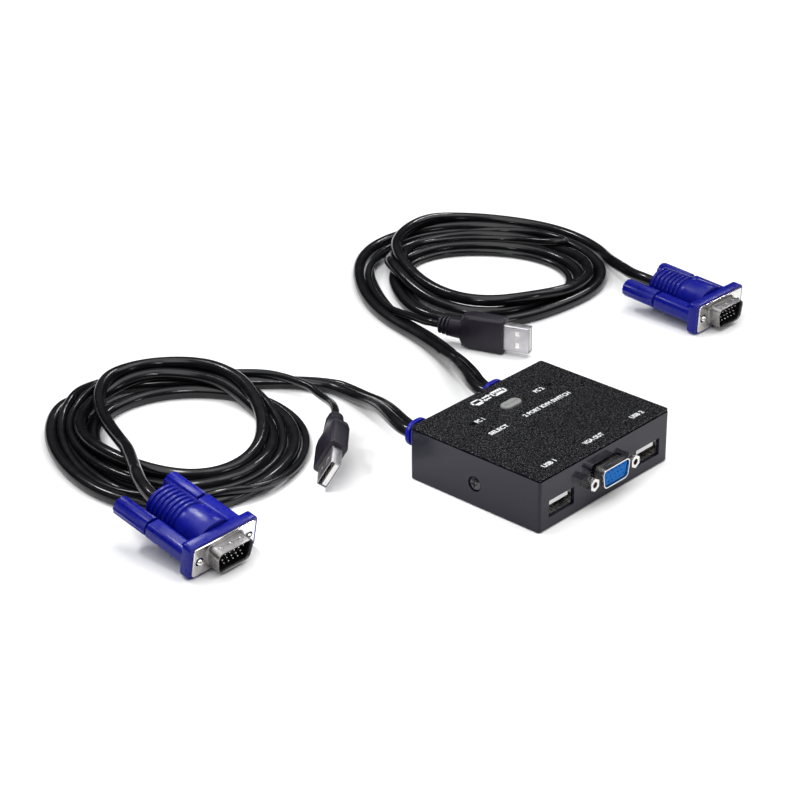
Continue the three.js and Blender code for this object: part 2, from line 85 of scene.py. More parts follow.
# ---------------------------------------------------------------- camera
CAMERA_PLACE = (-0.61367, -0.49626, 0.42933)
CAMERA_AZIMUTH = radians(-47.074)
CAMERA_ELEVATION = radians(26.837)
CAMERA_ROLL = radians(-0.449)
CAMERA_LENS = 102.65


def add_camera():
    sin_a, cos_a = sin(CAMERA_AZIMUTH), cos(CAMERA_AZIMUTH)
    sin_e, cos_e = sin(CAMERA_ELEVATION), cos(CAMERA_ELEVATION)
    back = Vector((sin_a * cos_e, -cos_a * cos_e, sin_e))
    right = Vector((cos_a, sin_a, 0))
    up = back.cross(right)
    turned_right = right * cos(CAMERA_ROLL) + up * sin(CAMERA_ROLL)
    turned_up = up * cos(CAMERA_ROLL) - right * sin(CAMERA_ROLL)
    data = bpy.data.cameras.new("camera")
    data.lens = CAMERA_LENS
    data.sensor_width = 36
    data.clip_start = 0.01
    camera = linked("camera", data)
    axes = Matrix((turned_right, turned_up, back)).transposed()
    camera.matrix_world = Matrix.Translation(CAMERA_PLACE) @ axes.to_4x4()
    bpy.context.scene.camera = camera


add_camera()

# ---------------------------------------------------------------- cables
DISPLAY_D = 0.0053
USB_D = 0.0033
TWIN_PITCH = (DISPLAY_D + USB_D) / 2 + 0.0003
DISPLAY_SIDE = -TWIN_PITCH * USB_D / (DISPLAY_D + USB_D)
USB_SIDE = DISPLAY_SIDE + TWIN_PITCH
STEP = 0.002
FLOOR_GAP = 0.0001
# Before it settles, a coil starts at this height and rises by this much in each turn.
START_HEIGHT = 0.003
RISE = 0.0085
TURN_STEP = 15
# How much higher the USB lead passes where the two leads of a twin change sides.
SWAP_HOP = 0.004
# How far the strands sink in each round of settling, early on and in the last rounds.
SINK = 0.00016
LATE_SINK = 0.00004

# The middle of each twin from its boot to its coil, the display lead on its left.
LEADS = [
    [
        (-0.031, 0.0376, 0.016), (-0.031, 0.0411, 0.016), (-0.0286, 0.048, 0.0154),
        (-0.0218, 0.060, 0.013), (-0.016, 0.0695, 0.0102), (-0.011, 0.079, 0.0072),
        (-0.0076, 0.0885, 0.0046), (-0.0054, 0.098, 0.0032), (-0.005, 0.107, 0.00275),
        (-0.007, 0.116, 0.00275), (-0.012, 0.1245, 0.00275), (-0.0195, 0.131, 0.00275),
    ],
    [
        (0.0145, 0.0376, 0.016), (0.0145, 0.0411, 0.016), (0.0172, 0.0478, 0.0154), (0.025, 0.0585, 0.0132),
        (0.0315, 0.0675, 0.011), (0.0385, 0.0775, 0.0082), (0.045, 0.088, 0.0054), (0.0505, 0.098, 0.0034),
        (0.055, 0.108, 0.00275), (0.0588, 0.118, 0.00275),
    ],
]
# Each coil is wound round a centre. The twin's distance from it is given in millimetres at some
# angles in degrees, counted on through the turns. In a swap the two leads change sides. The USB
# lead stops short, turns back in a hairpin and runs the other way to its plug.
WINDINGS = [
    {
        "centre": (-0.079, 0.123), "first": 49, "sense": 1, "swaps": [(85, 125), (225, 262)],
        "display_last": 1160, "usb_last": 958,
        "radii": {
            0: 50, 49: 50, 90: 54.5, 122: 51.5, 145: 46, 170: 46.5, 200: 52.5, 225: 58.5, 245: 60, 265: 57,
            290: 52.5, 322: 48.5, 346: 45.4, 375: 43.5, 405: 42, 450: 41, 495: 37, 520: 36, 545: 38,
            585: 46, 605: 47, 630: 45, 660: 42, 690: 39, 720: 41.5, 765: 50.5, 790: 54.5, 810: 52,
            850: 43, 880: 38.5, 905: 38.5, 945: 44, 970: 44, 1000: 41, 1050: 37.5, 1080: 41.5,
            1115: 53.5, 1140: 58, 1165: 54, 1190: 49,
        },
        "back": {240: 57.5, 200: 51.5, 180: 47.5, 140: 48.5, 90: 56, 60: 57.5, 50: 56}, "back_last": 53,
    },
    {
        "centre": (0.1225, 0.130), "first": 183, "sense": -1, "swaps": [],
        "display_last": -1096, "usb_last": -725,
        "radii": {
            200: 64.8, 190: 64.6, 177: 62.5, 153: 57, 132: 58.5, 113: 63.5, 98: 67, 80: 67.5, 45: 63, 22: 58,
            0: 54, -22: 52, -45: 50, -67: 43, -85: 37.5, -108: 38, -135: 44.5, -160: 49, -180: 49,
            -205: 44, -225: 44, -270: 46.5, -298: 41, -340: 38.5, -373: 40.5, -394: 41.5, -405: 42,
            -427: 40.5, -457: 37, -475: 37, -495: 37.5, -520: 38, -540: 36.5, -565: 37, -585: 40.5,
            -610: 49.5, -630: 54.5, -660: 55, -700: 51.5, -720: 49, -750: 47.5, -790: 41, -817: 36.5,
            -853: 33.5, -880: 32, -900: 31, -915: 31.5, -936: 34, -951: 38.5, -972: 48.5, -990: 58,
            -1012: 67.5, -1035: 70, -1058: 68, -1080: 64, -1100: 60, -1120: 58,
        },
        "back": {-5: 56, 45: 56.5, 90: 58, 135: 59, 160: 58.5, 185: 60.5}, "back_last": 172,
    },
]
DISPLAY_TAILS = [
    [
        (-0.0815, 0.1690, 0.036), (-0.0905, 0.1590, 0.037), (-0.0980, 0.1450, 0.037),
        (-0.1045, 0.1305, 0.037), (-0.1110, 0.1175, 0.036), (-0.1160, 0.1095, 0.026),
        (-0.1207, 0.1023, 0.0150), (-0.1251, 0.0955, 0.0150), (-0.1289, 0.0889, 0.0150),
        (-0.1317, 0.0825, 0.0150), (-0.1332, 0.0773, 0.0146), (-0.13361, 0.07287, 0.01371),
    ],
    [
        (0.1750, 0.1040, 0.009), (0.1695, 0.0945, 0.0068), (0.1640, 0.0850, 0.0078), (0.1597, 0.0765, 0.0090),
        (0.1577, 0.0685, 0.0097), (0.15742, 0.06142, 0.0094),
    ],
]
USB_TAILS = [
    [
        (-0.035, 0.150, 0.0096), (-0.027, 0.141, 0.0096), (-0.0214, 0.134, 0.009), (-0.018, 0.126, 0.0084),
        (-0.017, 0.117, 0.0074), (-0.0175, 0.109, 0.0062), (-0.0198, 0.101, 0.006), (-0.0232, 0.093, 0.0074),
        (-0.0276, 0.086, 0.0094), (-0.0325, 0.080, 0.0107), (-0.0369, 0.076, 0.01055),
    ],
    [
        (0.0645, 0.132, 0.008), (0.0612, 0.120, 0.008), (0.0606, 0.115, 0.0081), (0.0605, 0.1115, 0.0081),
        (0.06135, 0.1084, 0.0081),
    ],
]
# How many of a route's last points stay where they are while the coil settles.
DISPLAY_HELD = (5, 4)
USB_HELD = (6, 2)


def cubic(places, values, wanted):
    """The natural cubic spline through values at the given places, read at the wanted ones."""
    t, p, q = (np.asarray(x, float) for x in (places, values, wanted))
    n, h = len(t), np.diff(t)
    system, right = np.zeros((n, n)), np.zeros_like(p)
    system[0, :2], right[0] = (2, 1), 3 * (p[1] - p[0]) / h[0]
    system[-1, -2:], right[-1] = (1, 2), 3 * (p[-1] - p[-2]) / h[-1]
    for i in range(1, n - 1):
        system[i, i - 1 : i + 2] = h[i], 2 * (h[i - 1] + h[i]), h[i - 1]
        right[i] = 3 * (h[i] * (p[i] - p[i - 1]) / h[i - 1] + h[i - 1] * (p[i + 1] - p[i]) / h[i])
    slope = np.linalg.solve(system, right)
    i = np.clip(np.searchsorted(t, q, side="right") - 1, 0, n - 2)
    u, span = (q - t[i]) / h[i], h[i]
    if p.ndim > 1:
        u, span = u[:, None], span[:, None]
    start = (2 * u**3 - 3 * u**2 + 1) * p[i] + (u**3 - 2 * u**2 + u) * span * slope[i]
    end = (-2 * u**3 + 3 * u**2) * p[i + 1] + (u**3 - u**2) * span * slope[i + 1]
    return start + end


def lengths_along(points):
    return np.r_[0, np.cumsum(norm(np.diff(points, axis=0), axis=1))]


def spline(points):
    """A smooth line through the points, as points a step apart."""
    p = np.asarray(points, float)
    t = np.r_[0, np.cumsum(np.sqrt(norm(np.diff(p, axis=0), axis=1)))]
    fine = np.linspace(0, t[-1], 60 * len(t))
    along = lengths_along(cubic(t, p, fine))
    even = np.linspace(0, along[-1], int(round(along[-1] / STEP)) + 1)
    return cubic(t, p, np.interp(even, along, fine))


def beside(points, distance):
    """The route moved sideways in plan, to the right of its heading when distance is positive."""
    p = np.asarray(points, float).copy()
    heading = np.vstack([p[1:], p[-1:]]) - np.vstack([p[:1], p[:-1]])
    heading = heading[:, :2] / norm(heading[:, :2], axis=1)[:, None]
    p[:, 0] += heading[:, 1] * distance
    p[:, 1] -= heading[:, 0] * distance
    return p


def eased(line, held, reach=0.011):
    """The line with its small wiggles eased out, apart from its held ends."""
    n = int(3 * reach / STEP)
    kernel = np.exp(-0.5 * (np.arange(-n, n + 1) * STEP / reach) ** 2)
    kernel /= kernel.sum()
    smooth = line.copy()
    for c in range(3):
        before = 2 * line[0, c] - line[n:0:-1, c]
        after = 2 * line[-1, c] - line[-2 : -n - 2 : -1, c]
        smooth[:, c] = np.convolve(np.r_[before, line[:, c], after], kernel, "valid")
    free = np.nonzero(~held)[0]
    index = np.arange(len(line))
    ramp = np.clip(np.minimum(index - free[0] + 1, free[-1] + 1 - index) * STEP / (2 * reach), 0, 1)
    ramp = (ramp * ramp * (3 - 2 * ramp))[:, None]
    return line * (1 - ramp) + smooth * ramp


def twin_side(winding, angles, side):
    """How far a lead lies from the twin's middle, outwards, along the winding."""
    share = np.ones(len(angles))
    for low, high in winding["swaps"]:
        u = np.clip((angles - low) / (high - low), 0, 1)
        share *= 1 - 2 * (u * u * (3 - 2 * u))
    return side * winding["sense"] * share, 1 - abs(share)


def radii_at(table, angles):
    keys = sorted(table)
    return cubic(keys, [table[k] * MM for k in keys], angles)


def round_points(centre, angles, radii, heights):
    turn = np.radians(angles)
    return np.c_[centre[0] + radii * np.cos(turn), centre[1] + radii * np.sin(turn), heights]


def turns(winding, last, side, hop):
    """Points about every TURN_STEP degrees along a lead's turns, up to the last angle."""
    first = winding["first"]
    angles = np.linspace(first, last, int(abs(last - first) / TURN_STEP) + 2)
    outwards, crossing = twin_side(winding, angles, side)
    radii = radii_at(winding["radii"], angles) + outwards
    heights = START_HEIGHT + RISE * abs(angles - first) / 360 + hop * crossing
    return round_points(winding["centre"], angles, radii, heights)


def hairpin_and_return(winding, end):
    """The USB lead's half circle at the end of its turns, and its way back to its tail."""
    centre, sense, last = winding["centre"], winding["sense"], winding["usb_last"]
    inner = math.dist(end[:2], centre)
    first_key = next(iter(winding["back"]))
    outer = winding["back"][first_key] * MM
    middle, half = (inner + outer) / 2, (outer - inner) / 2
    bend = np.radians([30, 60, 90, 120, 150])
    pin_angles = last + sense * np.degrees(half * np.sin(bend) / middle)
    pin = round_points(centre, pin_angles, middle - half * np.cos(bend), np.full(5, end[2] + 0.001))
    start = last - round((last - first_key) / 360) * 360
    stop = winding["back_last"]
    angles = np.linspace(start, stop, int(abs(stop - start) / TURN_STEP) + 2)
    heights = end[2] + 0.0015 + 0.0003 * np.arange(len(angles))
    return [*pin, *round_points(centre, angles, radii_at(winding["back"], angles), heights)]


def held_points(line, lead_end, tail_start):
    """Which points of a line belong to its lead or its tail."""
    held = np.zeros(len(line), bool)
    held[: np.argmin(norm(line[:80, :2] - lead_end[:2], axis=1)) + 1] = True
    held[-100 + np.argmin(norm(line[-100:, :2] - tail_start[:2], axis=1)) :] = True
    return held


def routes(i):
    """The display and USB leads of one twin before they settle: line, radius and held points."""
    winding = WINDINGS[i]
    display = [*beside(LEADS[i], DISPLAY_SIDE), *turns(winding, winding["display_last"], DISPLAY_SIDE, 0)]
    usb = [*beside(LEADS[i], USB_SIDE), *turns(winding, winding["usb_last"], USB_SIDE, SWAP_HOP)]
    usb += hairpin_and_return(winding, usb[-1])
    out = []
    for points, tail, diameter, held_count in (
        (display, DISPLAY_TAILS[i], DISPLAY_D, DISPLAY_HELD[i]),
        (usb, USB_TAILS[i], USB_D, USB_HELD[i]),
    ):
        tail = np.array(tail)
        line = spline([*points, *tail])
        held = held_points(line, np.array(LEADS[i][-4]), tail[-held_count])
        out.append((eased(line, held), diameter / 2, held))
    return out


def neighbours(strands):
    """For each point: whether it may move, and the points a few steps either side of it."""
    start, movable, before, after = 0, [], [], []
    for line, _, held in strands:
        n = len(line)
        index = np.arange(n)
        reach = np.minimum(np.minimum(index, n - 1 - index), 5)
        keep = ~held & (index > 0) & (index < n - 1)
        movable.append(start + index[keep])
        before.append((start + index - reach)[keep])
        after.append((start + index + reach)[keep])
        start += n
    return np.concatenate(movable), np.concatenate(before), np.concatenate(after)


def push_apart(x, radius, free, pairs):
    """Moves apart the points that are nearer than their thickness allows."""
    i, j = pairs
    gap_vector = x[i] - x[j]
    gap = norm(gap_vector, axis=1) + 1e-9
    deep = radius[i] + radius[j] - gap
    hit = deep > 0
    i, j = i[hit], j[hit]
    push = gap_vector[hit] / gap[hit, None] * deep[hit, None]
    weight_i, weight_j = free[i].astype(float), free[j].astype(float)
    both = np.maximum(weight_i + weight_j, 1)
    total, count = np.zeros_like(x), np.zeros(len(x))
    np.add.at(total, i, push * (weight_i / both)[:, None])
    np.add.at(total, j, -push * (weight_j / both)[:, None])
    np.add.at(count, i, 1)
    np.add.at(count, j, 1)
    x += total / np.maximum(count, 1)[:, None] * 1.3


def settle(strands, rounds=420):
    """Lets the strands sink onto the table and onto each other, keeping near their routes."""
    x = np.concatenate([s[0] for s in strands])
    home = x[:, :2].copy()
    radius = np.concatenate([np.full(len(s[0]), s[1]) for s in strands])
    free = ~np.concatenate([s[2] for s in strands])
    owner = np.concatenate([np.full(len(s[0]), k) for k, s in enumerate(strands)])
    index = np.arange(len(x))
    move, far_a, far_b = neighbours(strands)
    for step in range(rounds):
        x[move, 2] -= SINK if step < rounds * 0.85 else LATE_SINK
        aside = x[:, :2] - home
        for _ in range(2):
            x[move, 2] += 0.5 * ((x[move - 1, 2] + x[move + 1, 2]) / 2 - x[move, 2])
            aside[move] += 0.5 * ((aside[move - 1] + aside[move + 1]) / 2 - aside[move])
        x[move, 2] += 0.25 * ((x[far_a, 2] + x[far_b, 2]) / 2 - x[move, 2])
        aside[move] += 0.4 * ((aside[far_a] + aside[far_b]) / 2 - aside[move])
        x[move, :2] = home[move] + 0.97 * aside[move]
        if step % 8 == 0:
            squared = ((x[:, None, :] - x[None, :, :]) ** 2).sum(-1)
            near = squared < (radius[:, None] + radius[None, :] + 0.002) ** 2
            near &= (owner[:, None] != owner[None, :]) | (abs(index[:, None] - index[None, :]) * STEP > 0.02)
            pairs = np.nonzero(np.triu(near, 1))
        for _ in range(3):
            push_apart(x, radius, free, pairs)
            x[:, 2] = np.maximum(x[:, 2], radius + FLOOR_GAP)
    ends = np.cumsum([len(s[0]) for s in strands])[:-1]
    return [eased(line, s[2], 0.005) for line, s in zip(np.split(x, ends), strands)]


def cable(name, line, diameter):
    """A round cable along the line, as a curve with closed ends."""
    data = bpy.data.curves.new(name, "CURVE")
    data.dimensions = "3D"
    data.bevel_depth = diameter / 2
    data.bevel_resolution = 5
    data.use_fill_caps = True
    strand = data.splines.new("POLY")
    strand.points.add(len(line) - 1)
    strand.points.foreach_set("co", np.c_[line, np.ones(len(line))].astype(np.float32).ravel())
    strand.use_smooth = True
    return linked(name, data)


cables = {}
for i in (0, 1):
    for kind, diameter, line in zip(("vga", "usb"), (DISPLAY_D, USB_D), settle(routes(i))):
        length = float(lengths_along(line)[-1])
        cables[f"{kind}_{i + 1}"] = (cable(f"{kind}_cable_{i + 1}", line, diameter), line, diameter, length)

# ---------------------------------------------------------------- materials


class Shader:
    """A Principled material under construction, with its procedural inputs."""

    def __init__(self, name, colour, roughness, metallic=0.0):
        self.material = bpy.data.materials.new(name)
        self.material.use_nodes = True
        self.tree = self.material.node_tree
        self.surface = self.tree.nodes["Principled BSDF"]
        self.surface.inputs["Base Color"].default_value = (*colour, 1)
        self.surface.inputs["Roughness"].default_value = roughness
        self.surface.inputs["Metallic"].default_value = metallic
        self.colour = colour
        self.roughness = roughness
        self.place = self.tree.nodes.new("ShaderNodeTexCoord").outputs["Object"]
        self.height = None

    def add(self, kind, **inputs):
        node = self.tree.nodes.new(kind)
        for key, value in inputs.items():
            socket = node.inputs[key.replace("_", " ")]
            if isinstance(value, bpy.types.NodeSocket):
                self.tree.links.new(value, socket)
            else:
                socket.default_value = value
        return node

    def stretched(self, factors):
        node = self.add("ShaderNodeMapping", Vector=self.place)
        node.inputs["Scale"].default_value = factors
        return node.outputs["Vector"]

    def noise(self, scale, detail=2.0, roughness=0.5, place=None):
        place = place or self.place
        node = self.add("ShaderNodeTexNoise", Vector=place, Scale=scale, Detail=detail, Roughness=roughness)
        return node.outputs["Fac"]

    def ranged(self, value, low, high, from_low=0.35, from_high=0.65):
        node = self.add("ShaderNodeMapRange", Value=value)
        limits = {"From Min": from_low, "From Max": from_high, "To Min": low, "To Max": high}
        for key, number in limits.items():
            node.inputs[key].default_value = number
        return node.outputs["Result"]

    def vary_colour(self, value, other):
        """Mixes the base colour with another one, by a value from 0 to 1."""
        node = self.tree.nodes.new("ShaderNodeMix")
        node.data_type = "RGBA"
        self.tree.links.new(value, node.inputs[0])
        node.inputs[6].default_value = (*self.colour, 1)
        node.inputs[7].default_value = (*other, 1)
        self.tree.links.new(node.outputs[2], self.surface.inputs["Base Color"])

    def specular(self, level):
        self.surface.inputs["Specular IOR Level"].default_value = level

    def vary_roughness(self, value, spread):
        low, high = max(self.roughness - spread, 0.02), self.roughness + spread
        self.tree.links.new(self.ranged(value, low, high), self.surface.inputs["Roughness"])

    def bump(self, value, distance, strength=1.0):
        node = self.add("ShaderNodeBump", Height=value, Distance=distance, Strength=strength)
        if self.height is not None:
            self.tree.links.new(self.height, node.inputs["Normal"])
        self.height = node.outputs["Normal"]
        self.tree.links.new(self.height, self.surface.inputs["Normal"])


def plastic(name, colour, other, roughness, grain=2500, depth=0.00002, specular=0.35):
    """Moulded plastic: faint flow marks in its colour, a fine texture and uneven gloss."""
    shader = Shader(name, colour, roughness)
    shader.specular(specular)
    shader.vary_colour(shader.ranged(shader.noise(90, 3), 0, 1), other)
    shader.vary_roughness(shader.noise(350, 4), 0.07)
    shader.bump(shader.noise(grain, 3, 0.6), depth, 0.5)
    return shader


def metal(name, colour, other, roughness, brushed=(60, 1200, 1200)):
    """Plated metal: faint drawing marks, light stains and uneven polish."""
    shader = Shader(name, colour, roughness, metallic=1.0)
    shader.vary_colour(shader.ranged(shader.noise(260, 4), 0, 1), other)
    marks = shader.noise(1.0, 3, 0.6, shader.stretched(brushed))
    shader.vary_roughness(marks, 0.08)
    shader.bump(marks, 0.00001, 0.35)
    return shader


def lid_material():
    """A black lid with a fine grain, and grey specks in its colour as painted glints."""
    shader = Shader("textured_lid", (0.0015, 0.0015, 0.0020), 0.24)
    warp = shader.noise(700, 2)
    cells = shader.add("ShaderNodeTexVoronoi", Vector=shader.place, Scale=1150.0)
    cells.feature = "SMOOTH_F1"
    cells.inputs["Smoothness"].default_value = 0.35
    pebbles = cells.outputs["Distance"]
    shader.bump(pebbles, 0.0009, 1.0)
    shader.bump(shader.noise(1500, 3, 0.65), 0.0006, 1.0)
    shader.vary_roughness(warp, 0.08)
    # Grey specks mixed into the base colour: painted glints, standing in for light caught by the grain's
    # peaks.
    painted_glints = shader.ranged(shader.noise(2300, 2, 0.5), 0, 1, 0.55, 0.68)
    shader.vary_colour(painted_glints, (0.17, 0.17, 0.19))
    shader.specular(0.1)
    return shader


def cable_material():
    """Glossy black PVC with the slight unevenness of an extruded jacket."""
    shader = Shader("cable_black", (0.0035, 0.0035, 0.0045), 0.17)
    shader.vary_colour(shader.ranged(shader.noise(120, 3), 0, 1), (0.006, 0.006, 0.007))
    shader.vary_roughness(shader.noise(240, 3), 0.05)
    shader.specular(0.3)
    shader.bump(shader.noise(420, 2), 0.00006, 0.5)
    shader.bump(shader.noise(3200, 3), 0.00001, 0.4)
    return shader


def board_material():
    """Green solder mask with copper tracks under it."""
    shader = Shader("board", (0.006, 0.075, 0.022), 0.3)
    tracks = shader.add("ShaderNodeTexBrick", Vector=shader.place, Scale=420.0)
    shader.vary_colour(shader.ranged(tracks.outputs["Fac"], 0, 1, 0, 1), (0.02, 0.15, 0.04))
    shader.vary_roughness(shader.noise(300, 3), 0.06)
    shader.bump(tracks.outputs["Fac"], 0.00003, 0.5)
    return shader


def print_material():
    """White pad print with slightly uneven ink."""
    shader = Shader("white_print", (0.80, 0.81, 0.82), 0.45)
    shader.vary_colour(shader.ranged(shader.noise(1400, 3), 0, 1), (0.62, 0.63, 0.65))
    shader.bump(shader.noise(3000, 2), 0.00002, 0.5)
    return shader


def floor_material():
    shader = Shader("table", (0.93, 0.93, 0.93), 0.7)
    shader.vary_colour(shader.ranged(shader.noise(2, 3), 0, 1), (0.95, 0.95, 0.95))
    shader.specular(0.1)
    return shader


# Each plastic: two colours, roughness, then grain scale, grain depth and specular level.
PLASTICS = {
    "housing": ((0.0050, 0.0046, 0.0125), (0.0070, 0.0066, 0.0155), 0.14, 1800, 0.000012, 0.27),
    "foot_rubber": ((0.010, 0.010, 0.010), (0.018, 0.018, 0.018), 0.8, 900, 0.00008),
    "chip_black": ((0.006, 0.006, 0.007), (0.011, 0.011, 0.012), 0.45, 2600, 0.00003),
    "white_plastic": ((0.80, 0.80, 0.79), (0.72, 0.72, 0.71), 0.35),
    "light_pipe": ((0.003, 0.0035, 0.004), (0.006, 0.006, 0.007), 0.12, 900),
    "button_grey": ((0.205, 0.21, 0.205), (0.245, 0.25, 0.245), 0.4, 2200, 0.00002),
    "insulator_blue": ((0.0, 0.110, 0.40), (0.0, 0.125, 0.45), 0.4, 2400, 0.00002, 0.08),
    "insulator_black": ((0.004, 0.004, 0.005), (0.008, 0.008, 0.009), 0.3, 2400),
    "boot_blue": ((0.002, 0.004, 0.19), (0.004, 0.006, 0.23), 0.34, 1900, 0.00003, 0.18),
    "hood_blue": ((0.002, 0.004, 0.185), (0.003, 0.006, 0.215), 0.3, 1600, 0.00003, 0.2),
    "usb_overmould": ((0.0080, 0.0062, 0.0125), (0.011, 0.009, 0.016), 0.4, 1500, 0.00004, 0.3),
}
# Each metal: two colours and roughness.
METALS = {
    "screw_steel": ((0.045, 0.045, 0.05), (0.075, 0.075, 0.08), 0.28),
    "port_nickel": ((0.66, 0.64, 0.61), (0.76, 0.75, 0.73), 0.2),
    "plug_steel": ((0.46, 0.45, 0.47), (0.53, 0.52, 0.54), 0.36),
}
MATERIALS = {slot: plastic(slot, *look).material for slot, look in PLASTICS.items()}
MATERIALS |= {slot: metal(slot, *look).material for slot, look in METALS.items()}
MATERIALS["textured_lid"] = lid_material().material
MATERIALS["board"] = board_material().material
MATERIALS["cable_black"] = cable_material().material
WHITE_PRINT = print_material().material
# The nose is the same plated metal as the plate, in a much darker copy: painted shade for the dark
# reflections it shows.
NOSE_SHADED_STEEL = metal("nose_shaded_steel", (0.20, 0.195, 0.195), (0.26, 0.25, 0.25), 0.34).material
CONTACT_GOLD = metal("contact_gold", (0.85, 0.60, 0.25), (0.75, 0.52, 0.22), 0.25).material

# ---------------------------------------------------------------- mesh helpers


def rounding_nodes():
    """A modifier tree that shades a mesh smooth, but keeps edges over 32 degrees sharp."""
    tree = bpy.data.node_groups.new("smooth_by_angle", "GeometryNodeTree")
    tree.interface.new_socket("Geometry", in_out="INPUT", socket_type="NodeSocketGeometry")
    tree.interface.new_socket("Geometry", in_out="OUTPUT", socket_type="NodeSocketGeometry")
    enter, leave = tree.nodes.new("NodeGroupInput"), tree.nodes.new("NodeGroupOutput")
    faces, edges = (tree.nodes.new("GeometryNodeSetShadeSmooth") for _ in range(2))
    faces.domain, edges.domain = "FACE", "EDGE"
    edges.inputs["Shade Smooth"].default_value = False
    angle = tree.nodes.new("GeometryNodeInputMeshEdgeAngle")
    sharp = tree.nodes.new("FunctionNodeCompare")
    sharp.operation = "GREATER_THAN"
    sharp.inputs[1].default_value = radians(32)
    tree.links.new(angle.outputs["Unsigned Angle"], sharp.inputs[0])
    tree.links.new(sharp.outputs["Result"], edges.inputs["Selection"])
    tree.links.new(enter.outputs[0], faces.inputs["Geometry"])
    tree.links.new(faces.outputs[0], edges.inputs["Geometry"])
    tree.links.new(edges.outputs[0], leave.inputs[0])
    return tree


ROUNDING = rounding_nodes()


def soften(piece, bevel=0.0, segments=3):
    """Rounds a piece's sharp edges a little and shades the rest smooth."""
    if bevel:
        edge = piece.modifiers.new("edge", "BEVEL")
        edge.width = bevel
        edge.segments = segments
        edge.limit_method = "ANGLE"
        edge.angle_limit = radians(38)
        edge.use_clamp_overlap = True
    piece.modifiers.new("shade", "NODES").node_group = ROUNDING
    if bevel:
        normals = piece.modifiers.new("normals", "WEIGHTED_NORMAL")
        normals.keep_sharp = True


def paint(piece, material):
    piece.data.materials.clear()
    piece.data.materials.append(material)


def new_piece(name, mesh, slot, body, place=None, material=None, bevel=0.0, replaced=()):
    """A finished object from a bmesh: placed, painted, softened, and riding on its body."""
    if place is not None:
        mesh.transform(place)
    bmesh.ops.recalc_face_normals(mesh, faces=mesh.faces)
    piece = mesh_object(name, mesh)
    paint(piece, material or MATERIALS[slot])
    soften(piece, bevel)
    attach(piece, body)
    if replaced:
        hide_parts(*replaced)
    return piece


def join_rows(mesh, rows):
    """Adds four-sided faces from each row of vertices to the next."""
    n = len(rows[0])
    for low, high in zip(rows, rows[1:]):
        for k in range(n):
            mesh.faces.new((low[k], low[(k + 1) % n], high[(k + 1) % n], high[k]))


def loft(mesh, sections):
    """Adds a closed skin through outlines with equally many points, with flat ends."""
    rows = [[mesh.verts.new(p) for p in section] for section in sections]
    join_rows(mesh, rows)
    mesh.faces.new(rows[0])
    mesh.faces.new(rows[-1][::-1])


def tube_loft(mesh, sections):
    """Adds a closed ring of skin: its last outline joins back to its first."""
    rows = [[mesh.verts.new(p) for p in section] for section in sections]
    join_rows(mesh, rows + rows[:1])


def arc(cx, cy, radius, start, end, steps):
    """Points on a circle between two angles in degrees."""
    return [
        (cx + radius * cos(radians(a)), cy + radius * sin(radians(a)))
        for a in np.linspace(start, end, steps + 1)
    ]


def rounded(width, height, radius, steps=5):
    """A rectangle with round corners, about the origin."""
    x, y = width / 2 - radius, height / 2 - radius
    corners = ((x, -y, -90), (x, y, 0), (-x, y, 90), (-x, -y, 180))
    return [p for cx, cy, a in corners for p in arc(cx, cy, radius, a, a + 90, steps)]


def d_outline(width, height, radius, steps=5):
    """A display connector's D, wide side up, its sides sloping by 10 degrees."""
    slope = 10
    inset = height * math.tan(radians(slope))
    top_x = width / 2 - radius
    low_x = top_x - inset + 2 * radius * math.tan(radians(slope))
    y = height / 2 - radius
    return (
        arc(low_x, -y, radius, -90, -slope, steps)
        + arc(top_x, y, radius, -slope, 90, steps)
        + arc(-top_x, y, radius, 90, 180 + slope, steps)
        + arc(-low_x, -y, radius, 180 + slope, 270, steps)
    )


def circle(radius, steps=24):
    return arc(0, 0, radius, 0, 360 * (steps - 1) / steps, steps - 1)


def at_y(outline, y, cx=0.0, cz=0.0):
    """An outline stood up across the Y axis."""
    return [(cx + a, y, cz + b) for a, b in outline]


def at_z(outline, z, cx=0.0, cy=0.0):
    """An outline laid flat at a height."""
    return [(cx + a, cy + b, z) for a, b in outline]


def moved(outline, inwards):
    """A convex outline about the origin, moved inwards by a distance."""
    out = []
    n = len(outline)
    for k, (x, y) in enumerate(outline):
        (ax, ay), (bx, by) = outline[k - 1], outline[(k + 1) % n]
        along = math.hypot(bx - ax, by - ay)
        out.append((x - inwards * (by - ay) / along, y + inwards * (bx - ax) / along))
    return out


def bar_y(mesh, outline, profile, cx=0.0, cz=0.0):
    """Adds an outline swept along Y; profile lists (y, distance inwards from the outline)."""
    loft(mesh, [at_y(moved(outline, inset) if inset else outline, y, cx, cz) for y, inset in profile])


def millimetres(mesh):
    bmesh.ops.scale(mesh, vec=(MM, MM, MM), verts=mesh.verts)
    return mesh


# ---------------------------------------------------------------- CAD nodes that keep their shape
BEVELS = {
    "base_shell": 0.00035, "top_cover": 0.0003, "circuit_board": 0.0001, "video_switch_chip": 0.00012,
    "usb_controller_chip": 0.00012, "crystal": 0.0003, "cable_header_1": 0.0003, "cable_header_2": 0.0003,
    "select_switch_body": 0.0002, "usb_port_1_tongue": 0.00015, "usb_port_2_tongue": 0.00015,
    "usb_plug_1_tongue": 0.0001, "usb_plug_2_tongue": 0.0001, "vga_port_post_left": 0.0002,
    "vga_port_post_right": 0.0002, "usb_port_1_shell": 0.00008, "usb_port_2_shell": 0.00008,
}
for entry in frame["record"]["subparts"]:
    node = bpy.data.objects.get(entry["node"])
    if node is not None:
        paint(node, MATERIALS[entry["material_slot"]])
        soften(node, BEVELS.get(entry["node"], 0.00006), 3 if entry["node"] in BEVELS else 2)

# ---------------------------------------------------------------- box details
shell_low, shell_high = node_box("base_shell")
lid_high = node_box("top_cover")[1]
button_low, button_high = node_box("select_button")


